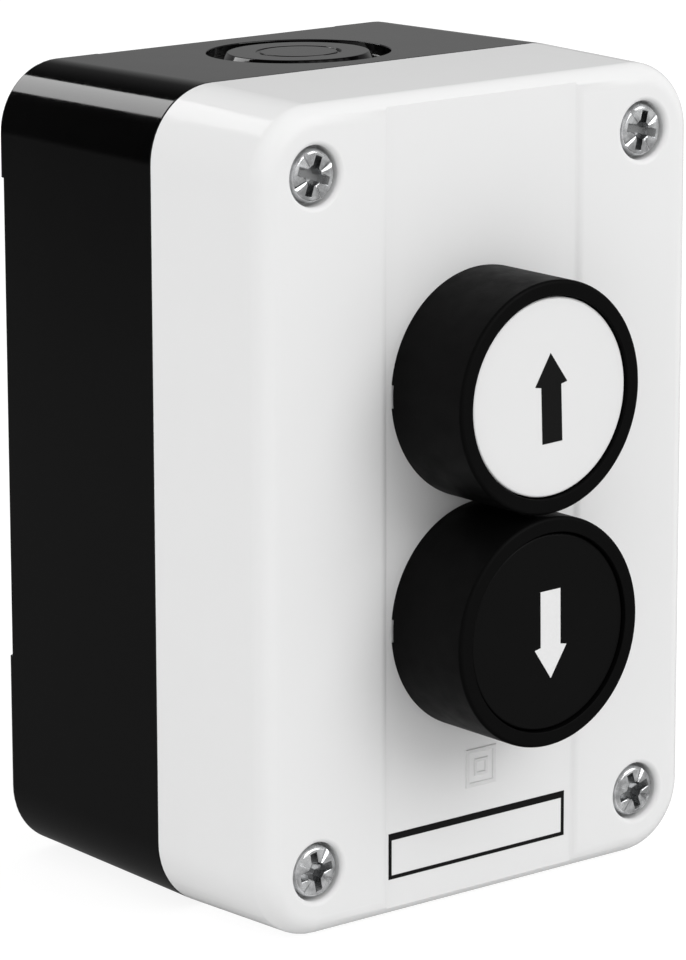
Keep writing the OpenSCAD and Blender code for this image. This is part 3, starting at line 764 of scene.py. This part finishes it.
def witness_cutter(name, head_r, head_h):
    """Four wedges at 45 degrees to the recess, which cut the witness lines as shallow grooves."""
    bm = bmesh.new()
    level = -head_h + 0.5 * SCREW_DOME * head_r
    for k in range(4):
        spin = Matrix.Rotation(math.pi / 4 + math.pi / 2 * k, 4, "Y")
        loops = []
        for along, share in ((WITNESS_FROM, WITNESS_INNER), (WITNESS_TO, WITNESS_OUTER)):
            x, half = along * head_r, share * head_r
            depth = half * WITNESS_SLOPE
            corners = ((x, level - half, 0), (x, level, half), (x, level + depth, 0), (x, level, -half))
            loops.append([bm.verts.new(spin @ Vector(corner)) for corner in corners])
        for loop in loops:
            bm.faces.new(loop)
        add_band(bm, *loops)
    return show_built(name, bm)


def mark_recess_shade_and_dullness(screw, head_r, head_h, slack=0.01):
    """Says on the mesh how much of the recess's painted shade and dullness each face gets, from the mouth of the
    recess to its floor.
    """
    hollow = screw.data.attributes.new("hollow", "FLOAT", "FACE")
    top = Vector((0, -head_h, 0))
    for face in screw.data.polygons:
        x, depth, z = (abs(part) / head_r for part in face.center - top)
        in_cross = min(x, z) < RECESS_ARM_W + slack or math.hypot(x, z) < RECESS_CORE
        in_cross = in_cross and max(x, z) < RECESS_ARM
        if in_cross and RECESS_CHAMFER < depth < RECESS_DEPTH + slack:
            share = depth / RECESS_DEPTH
            hollow.data[face.index].value = HOLLOW_AT_MOUTH + (1 - HOLLOW_AT_MOUTH) * share


def make_screw(name, length, sizes):
    """One screw at the origin, its seat at y = 0 and its head towards -Y."""
    head_r, head_h = sizes["head_r"], sizes["head_h"]
    screw = lathe(name, screw_profile(length, **sizes))
    cut(screw, recess_cutter(name + "_recess", head_r, head_h))
    cut(screw, witness_cutter(name + "_witness", head_r, head_h))
    smooth_by_angle(screw)
    mark_recess_shade_and_dullness(screw, head_r, head_h)
    return screw


def screw_points(name, places):
    """A mesh of loose points, each with the angle that its screw is turned by."""
    mesh = bpy.data.meshes.new(name)
    mesh.from_pydata([place for place, turn in places], [], [])
    turns = mesh.attributes.new("turn", "FLOAT", "POINT")
    for k, (place, turn) in enumerate(places):
        turns.data[k].value = math.radians(turn)
    return mesh


def add_screw_set(tree, node, sizes, turns):
    """The screws of a node, grown from one. turns says how far the one at each (x, z) is turned."""
    low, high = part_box(node)
    name = node[:-1]
    seat = low.y + sizes["head_h"]
    screw = make_screw(name, high.y - seat, sizes)
    points = screw_points(name + "_places", [((x, seat, z), -turn) for (x, z), turn in turns.items()])
    screws = grown(name + "_set", tree, {"Screw": screw, "Finish": finishes["zinc_screws"]}, points)
    dress(screws, "zinc_screws", "enclosure", node)
    bpy.data.objects.remove(screw)


def add_screws():
    """The four cover screws, and the two terminal screws of each contact block."""
    tree = screw_set_tree()
    x, z = COVER_SCREW_PLACE
    turns = {(right * x, up * z): turn for (right, up), turn in COVER_TURNS.items()}
    add_screw_set(tree, "cover_screws", COVER_SCREW, turns)
    for side in SIDES:
        low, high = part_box(side + "_terminal_screws")
        x, z = high.x - TERMINAL_SCREW["head_r"], (low.z + high.z) / 2
        turns = {(right * x, z): turn for right, turn in TERMINAL_TURNS[side].items()}
        add_screw_set(tree, side + "_terminal_screws", TERMINAL_SCREW, turns)


# Springs

def add_spring(tree, side, kind, body, joint=None):
    """A coil spring in its node's place. If a joint presses it, it gets a mesh of its own."""
    node = side + "_" + kind + "_spring"
    wire, turns = SPRINGS[kind]
    low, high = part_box(node)
    centre = (low + high) / 2
    length = high.y - low.y
    values = {
        "Place": (centre.x, high.y, centre.z), "Wire": wire, "Coil": high.x - low.x - wire,
        "Length": length, "Turns": float(turns), "Steps": turns * STEPS_A_TURN,
        "Finish": finishes["spring_steel"],
    }
    spring = grown(node + "_wire", tree, values)
    smooth_by_angle(spring, 60)
    dress(spring, "spring_steel", body, node)
    if joint:
        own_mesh(spring)


def add_springs():
    """The return, carrier and contact springs of both heads."""
    tree = coil_tree()
    joints = {joint["name"]: joint for joint in frame["joints"]}
    for side in SIDES:
        add_spring(tree, side, "return", "enclosure", joints[side + "_press"])
        add_spring(tree, side, "carrier", "enclosure", joints[side + "_contact_slide"])
        add_spring(tree, side, "contact", side + "_contact")


# Marks

def arrow_outline():
    """An upright arrow round its own centre, its barbs slightly swept towards the tip."""
    tip, base = ARROW_L / 2, -ARROW_L / 2
    neck = tip - ARROW_HEAD_L
    shaft, barb = ARROW_SHAFT_W / 2, ARROW_HEAD_W / 2
    right = [(shaft, base), (shaft, neck), (barb, neck + ARROW_SWEEP), (0, tip)]
    return right + [(-x, z) for x, z in reversed(right[:-1])]


def add_arrows():
    """A printed arrow on each cap, which moves with its button."""
    for side, tone, slot in (("upper", "black_ink", "black_cap"), ("lower", "white_ink", "white_cap")):
        x, z, degrees = ARROW_PLACES[side]
        turn = Matrix.Rotation(math.radians(degrees), 2)
        outline = [Vector((x, z)) + turn @ Vector(point) for point in arrow_outline()]
        face = cap_face[side]
        arrow = prism(side + "_arrow", outline, face - PRINT_H, face + PRINT_H)
        dress(arrow, tone, side + "_button", slot=slot)


def add_cover_marks():
    """The empty printed label frame, and the raised double square of protective insulation, given a greyer tone
    than the cover as painted shade.
    """
    label = framed("label_frame", [(LABEL_PLACE, LABEL_W, LABEL_H, LABEL_LINE)],
                   channel_y + PRINT_H, channel_y - PRINT_H, top_line=LABEL_TOP_LINE)
    dress(label, "black_ink", "enclosure", slot="black_cap")
    squares = [(SIGN_PLACE, width, width, line)
               for width, line in ((SIGN_W, SIGN_LINE), (SIGN_INNER_W, SIGN_INNER_LINE))]
    sign = framed("insulation_sign", squares, channel_y + PRINT_H, channel_y - SIGN_H, SIGN_SLOPE)
    # Painted shade: the double square is greyer than the cover
    dress(sign, "sign_paint", "enclosure", slot="white_shell")


# Camera, lights and floor

def add_camera():
    """The camera that took the photograph."""
    yaw, pitch, roll = (math.radians(a) for a in (CAMERA_YAW, CAMERA_PITCH, CAMERA_ROLL))
    level = math.cos(pitch)
    sight = Vector((math.sin(yaw) * level, math.cos(yaw) * level, -math.sin(pitch)))
    right = sight.cross(Vector((0, 0, 1))).normalized()
    up = right.cross(sight)
    right, up = right * math.cos(roll) + up * math.sin(roll), up * math.cos(roll) - right * math.sin(roll)
    target = Vector((0, cover_low.y, 0))
    place = target - sight * CAMERA_DISTANCE + right * CAMERA_ASIDE + up * CAMERA_ABOVE
    camera = bpy.data.objects.new("camera", bpy.data.cameras.new("camera"))
    camera.data.sensor_width = SENSOR
    camera.data.lens = FOCAL_PIXELS / PHOTO_HEIGHT * SENSOR
    camera.data.clip_start = 0.01
    camera.matrix_world = Matrix.Translation(place) @ Matrix((right, up, -sight)).transposed().to_4x4()
    bpy.context.scene.collection.objects.link(camera)
    bpy.context.scene.camera = camera


def add_softbox(name, towards, across, width, height, radiance, distance, target=None, glossy=True,
                diffuse=True):
    """A rectangular lamp that looks at a target from a direction, with the radiance of its face."""
    lamp = bpy.data.lights.new(name, "AREA")
    lamp.shape = "RECTANGLE"
    lamp.size = width
    lamp.size_y = height
    lamp.energy = math.pi * width * height * radiance
    softbox = bpy.data.objects.new(name, lamp)
    back = Vector(towards).normalized()
    up = back.cross(Vector(across)).normalized()
    target = target or Vector((0, (cad_bounds[0].y + cad_bounds[1].y) / 2, 0))
    turn = Matrix((up.cross(back), up, back)).transposed().to_4x4()
    softbox.matrix_world = Matrix.Translation(target + back * distance) @ turn
    softbox.visible_camera = False
    softbox.visible_glossy = glossy
    softbox.visible_diffuse = diffuse
    bpy.context.scene.collection.objects.link(softbox)


def add_lights():
    """A key from above the front, a fill at each side and a bar of light behind the top left edge."""
    add_softbox("key", towards=(0.33, -0.78, 0.54), across=(1, 0, 0), width=2.4, height=2.4,
                radiance=2.4, distance=3)
    for name, right, radiance in (("left_fill", -1, 3.7), ("right_fill", 1, 1.6)):
        add_softbox(name, towards=(right, 0.1, -0.1), across=(0, 1, 0), width=1.6, height=1.6,
                    radiance=radiance, distance=2, glossy=False)
    corner = Vector((rear_low.x + 4 * MM, (rear_low.y + rear_high.y) / 2, rear_high.z - 3 * MM))
    add_softbox("back_bar", towards=(-0.118, 0.792, 0.6), across=(0.973, 0, 0.232), width=0.36,
                height=0.44, radiance=3.8, distance=1, target=corner, diffuse=False)


def studio(tree, value, start, full, strength, smooth=True):
    """A part of the studio: nothing up to start, and its strength from full on."""
    return ramp(tree, value, start, full, 0, strength, smooth)


def sky(tree, strength):
    """White light of that strength from the world."""
    inputs = {"Color": (1, 1, 1, 1), "Strength": strength}
    return add_node(tree, "ShaderNodeBackground", inputs).outputs[0]


def add_world():
    """Light from all round, more from above, a white background, and for gloss a dark studio."""
    world = bpy.data.worlds.new("studio")
    bpy.context.scene.world = world
    world.use_nodes = True
    tree = world.node_tree
    tree.nodes.clear()
    rays = add_node(tree, "ShaderNodeLightPath").outputs
    direction = add_node(tree, "ShaderNodeTexCoord").outputs["Generated"]
    x, y, z = add_node(tree, "ShaderNodeSeparateXYZ", {0: direction}).outputs
    right = maths(tree, "ADD", studio(tree, x, **STUDIO_RIGHT_HAZE), studio(tree, x, **STUDIO_RIGHT_WALL))
    below = studio(tree, z, **STUDIO_BELOW)
    behind = studio(tree, y, **STUDIO_BEHIND)
    back = maths(tree, "MULTIPLY", behind, maths(tree, "MAXIMUM", right, below))
    sideways = maths(tree, "MAXIMUM", maths(tree, "ABSOLUTE", x), maths(tree, "ABSOLUTE", y))
    square_on = studio(tree, sideways, **STUDIO_SQUARE_ON)
    front = maths(tree, "MAXIMUM", studio(tree, y, **STUDIO_FRONT), square_on)
    plain = sky(tree, ramp(tree, z, 0, 1, SKY_LOW, SKY_HIGH))
    gloss = sky(tree, maths(tree, "ADD", back, front))
    lit = mixed_shader(tree, rays["Is Glossy Ray"], plain, gloss)
    shown = mixed_shader(tree, rays["Is Camera Ray"], lit, sky(tree, 1))
    add_node(tree, "ShaderNodeOutputWorld", {"Surface": shown})


def floor_paint():
    """Pale paint with a glow of its own, which the camera sees as white. It is clear from below."""
    material = bpy.data.materials.new("floor_paint")
    material.use_nodes = True
    tree = material.node_tree
    tree.nodes.clear()
    rays = add_node(tree, "ShaderNodeLightPath").outputs
    paint = add_node(tree, "ShaderNodeBsdfDiffuse", {"Color": (FLOOR_GREY, FLOOR_GREY, FLOOR_GREY, 1)})
    glow = add_node(tree, "ShaderNodeEmission", {"Color": (1, 1, 1, 1), "Strength": FLOOR_GLOW})
    share = ramp(tree, rays["Is Camera Ray"], 0, 1, FLOOR_GLOW_LIT, FLOOR_GLOW_SEEN)
    above = mixed_shader(tree, share, paint.outputs[0], glow.outputs[0])
    below = add_node(tree, "ShaderNodeBsdfTransparent").outputs[0]
    underside = add_node(tree, "ShaderNodeNewGeometry").outputs["Backfacing"]
    add_node(tree, "ShaderNodeOutputMaterial", {"Surface": mixed_shader(tree, underside, above, below)})
    return material


def add_floor():
    """The floor under the box, which takes its soft shadow."""
    level = cad_bounds[0].z
    corners = [(x * FLOOR_REACH, y * FLOOR_REACH, level) for x, y in ((-1, -1), (1, -1), (1, 1), (-1, 1))]
    mesh = bpy.data.meshes.new("floor")
    mesh.from_pydata(corners, [], [(0, 1, 2, 3)])
    mesh.materials.append(floor_paint())
    floor = show("floor", mesh)
    floor.visible_glossy = False


def paint_nodes():
    """Gives every node of the frame the finish of its slot."""
    for node in frame["nodes"].values():
        for slot in node.material_slots:
            slot.material = finishes[slot.material.name]


add_camera()
paint_nodes()
add_shells()
add_heads()
add_screws()
add_springs()
add_arrows()
add_cover_marks()
add_world()
add_lights()
add_floor()

bpy.context.scene.view_settings.view_transform = "Standard"
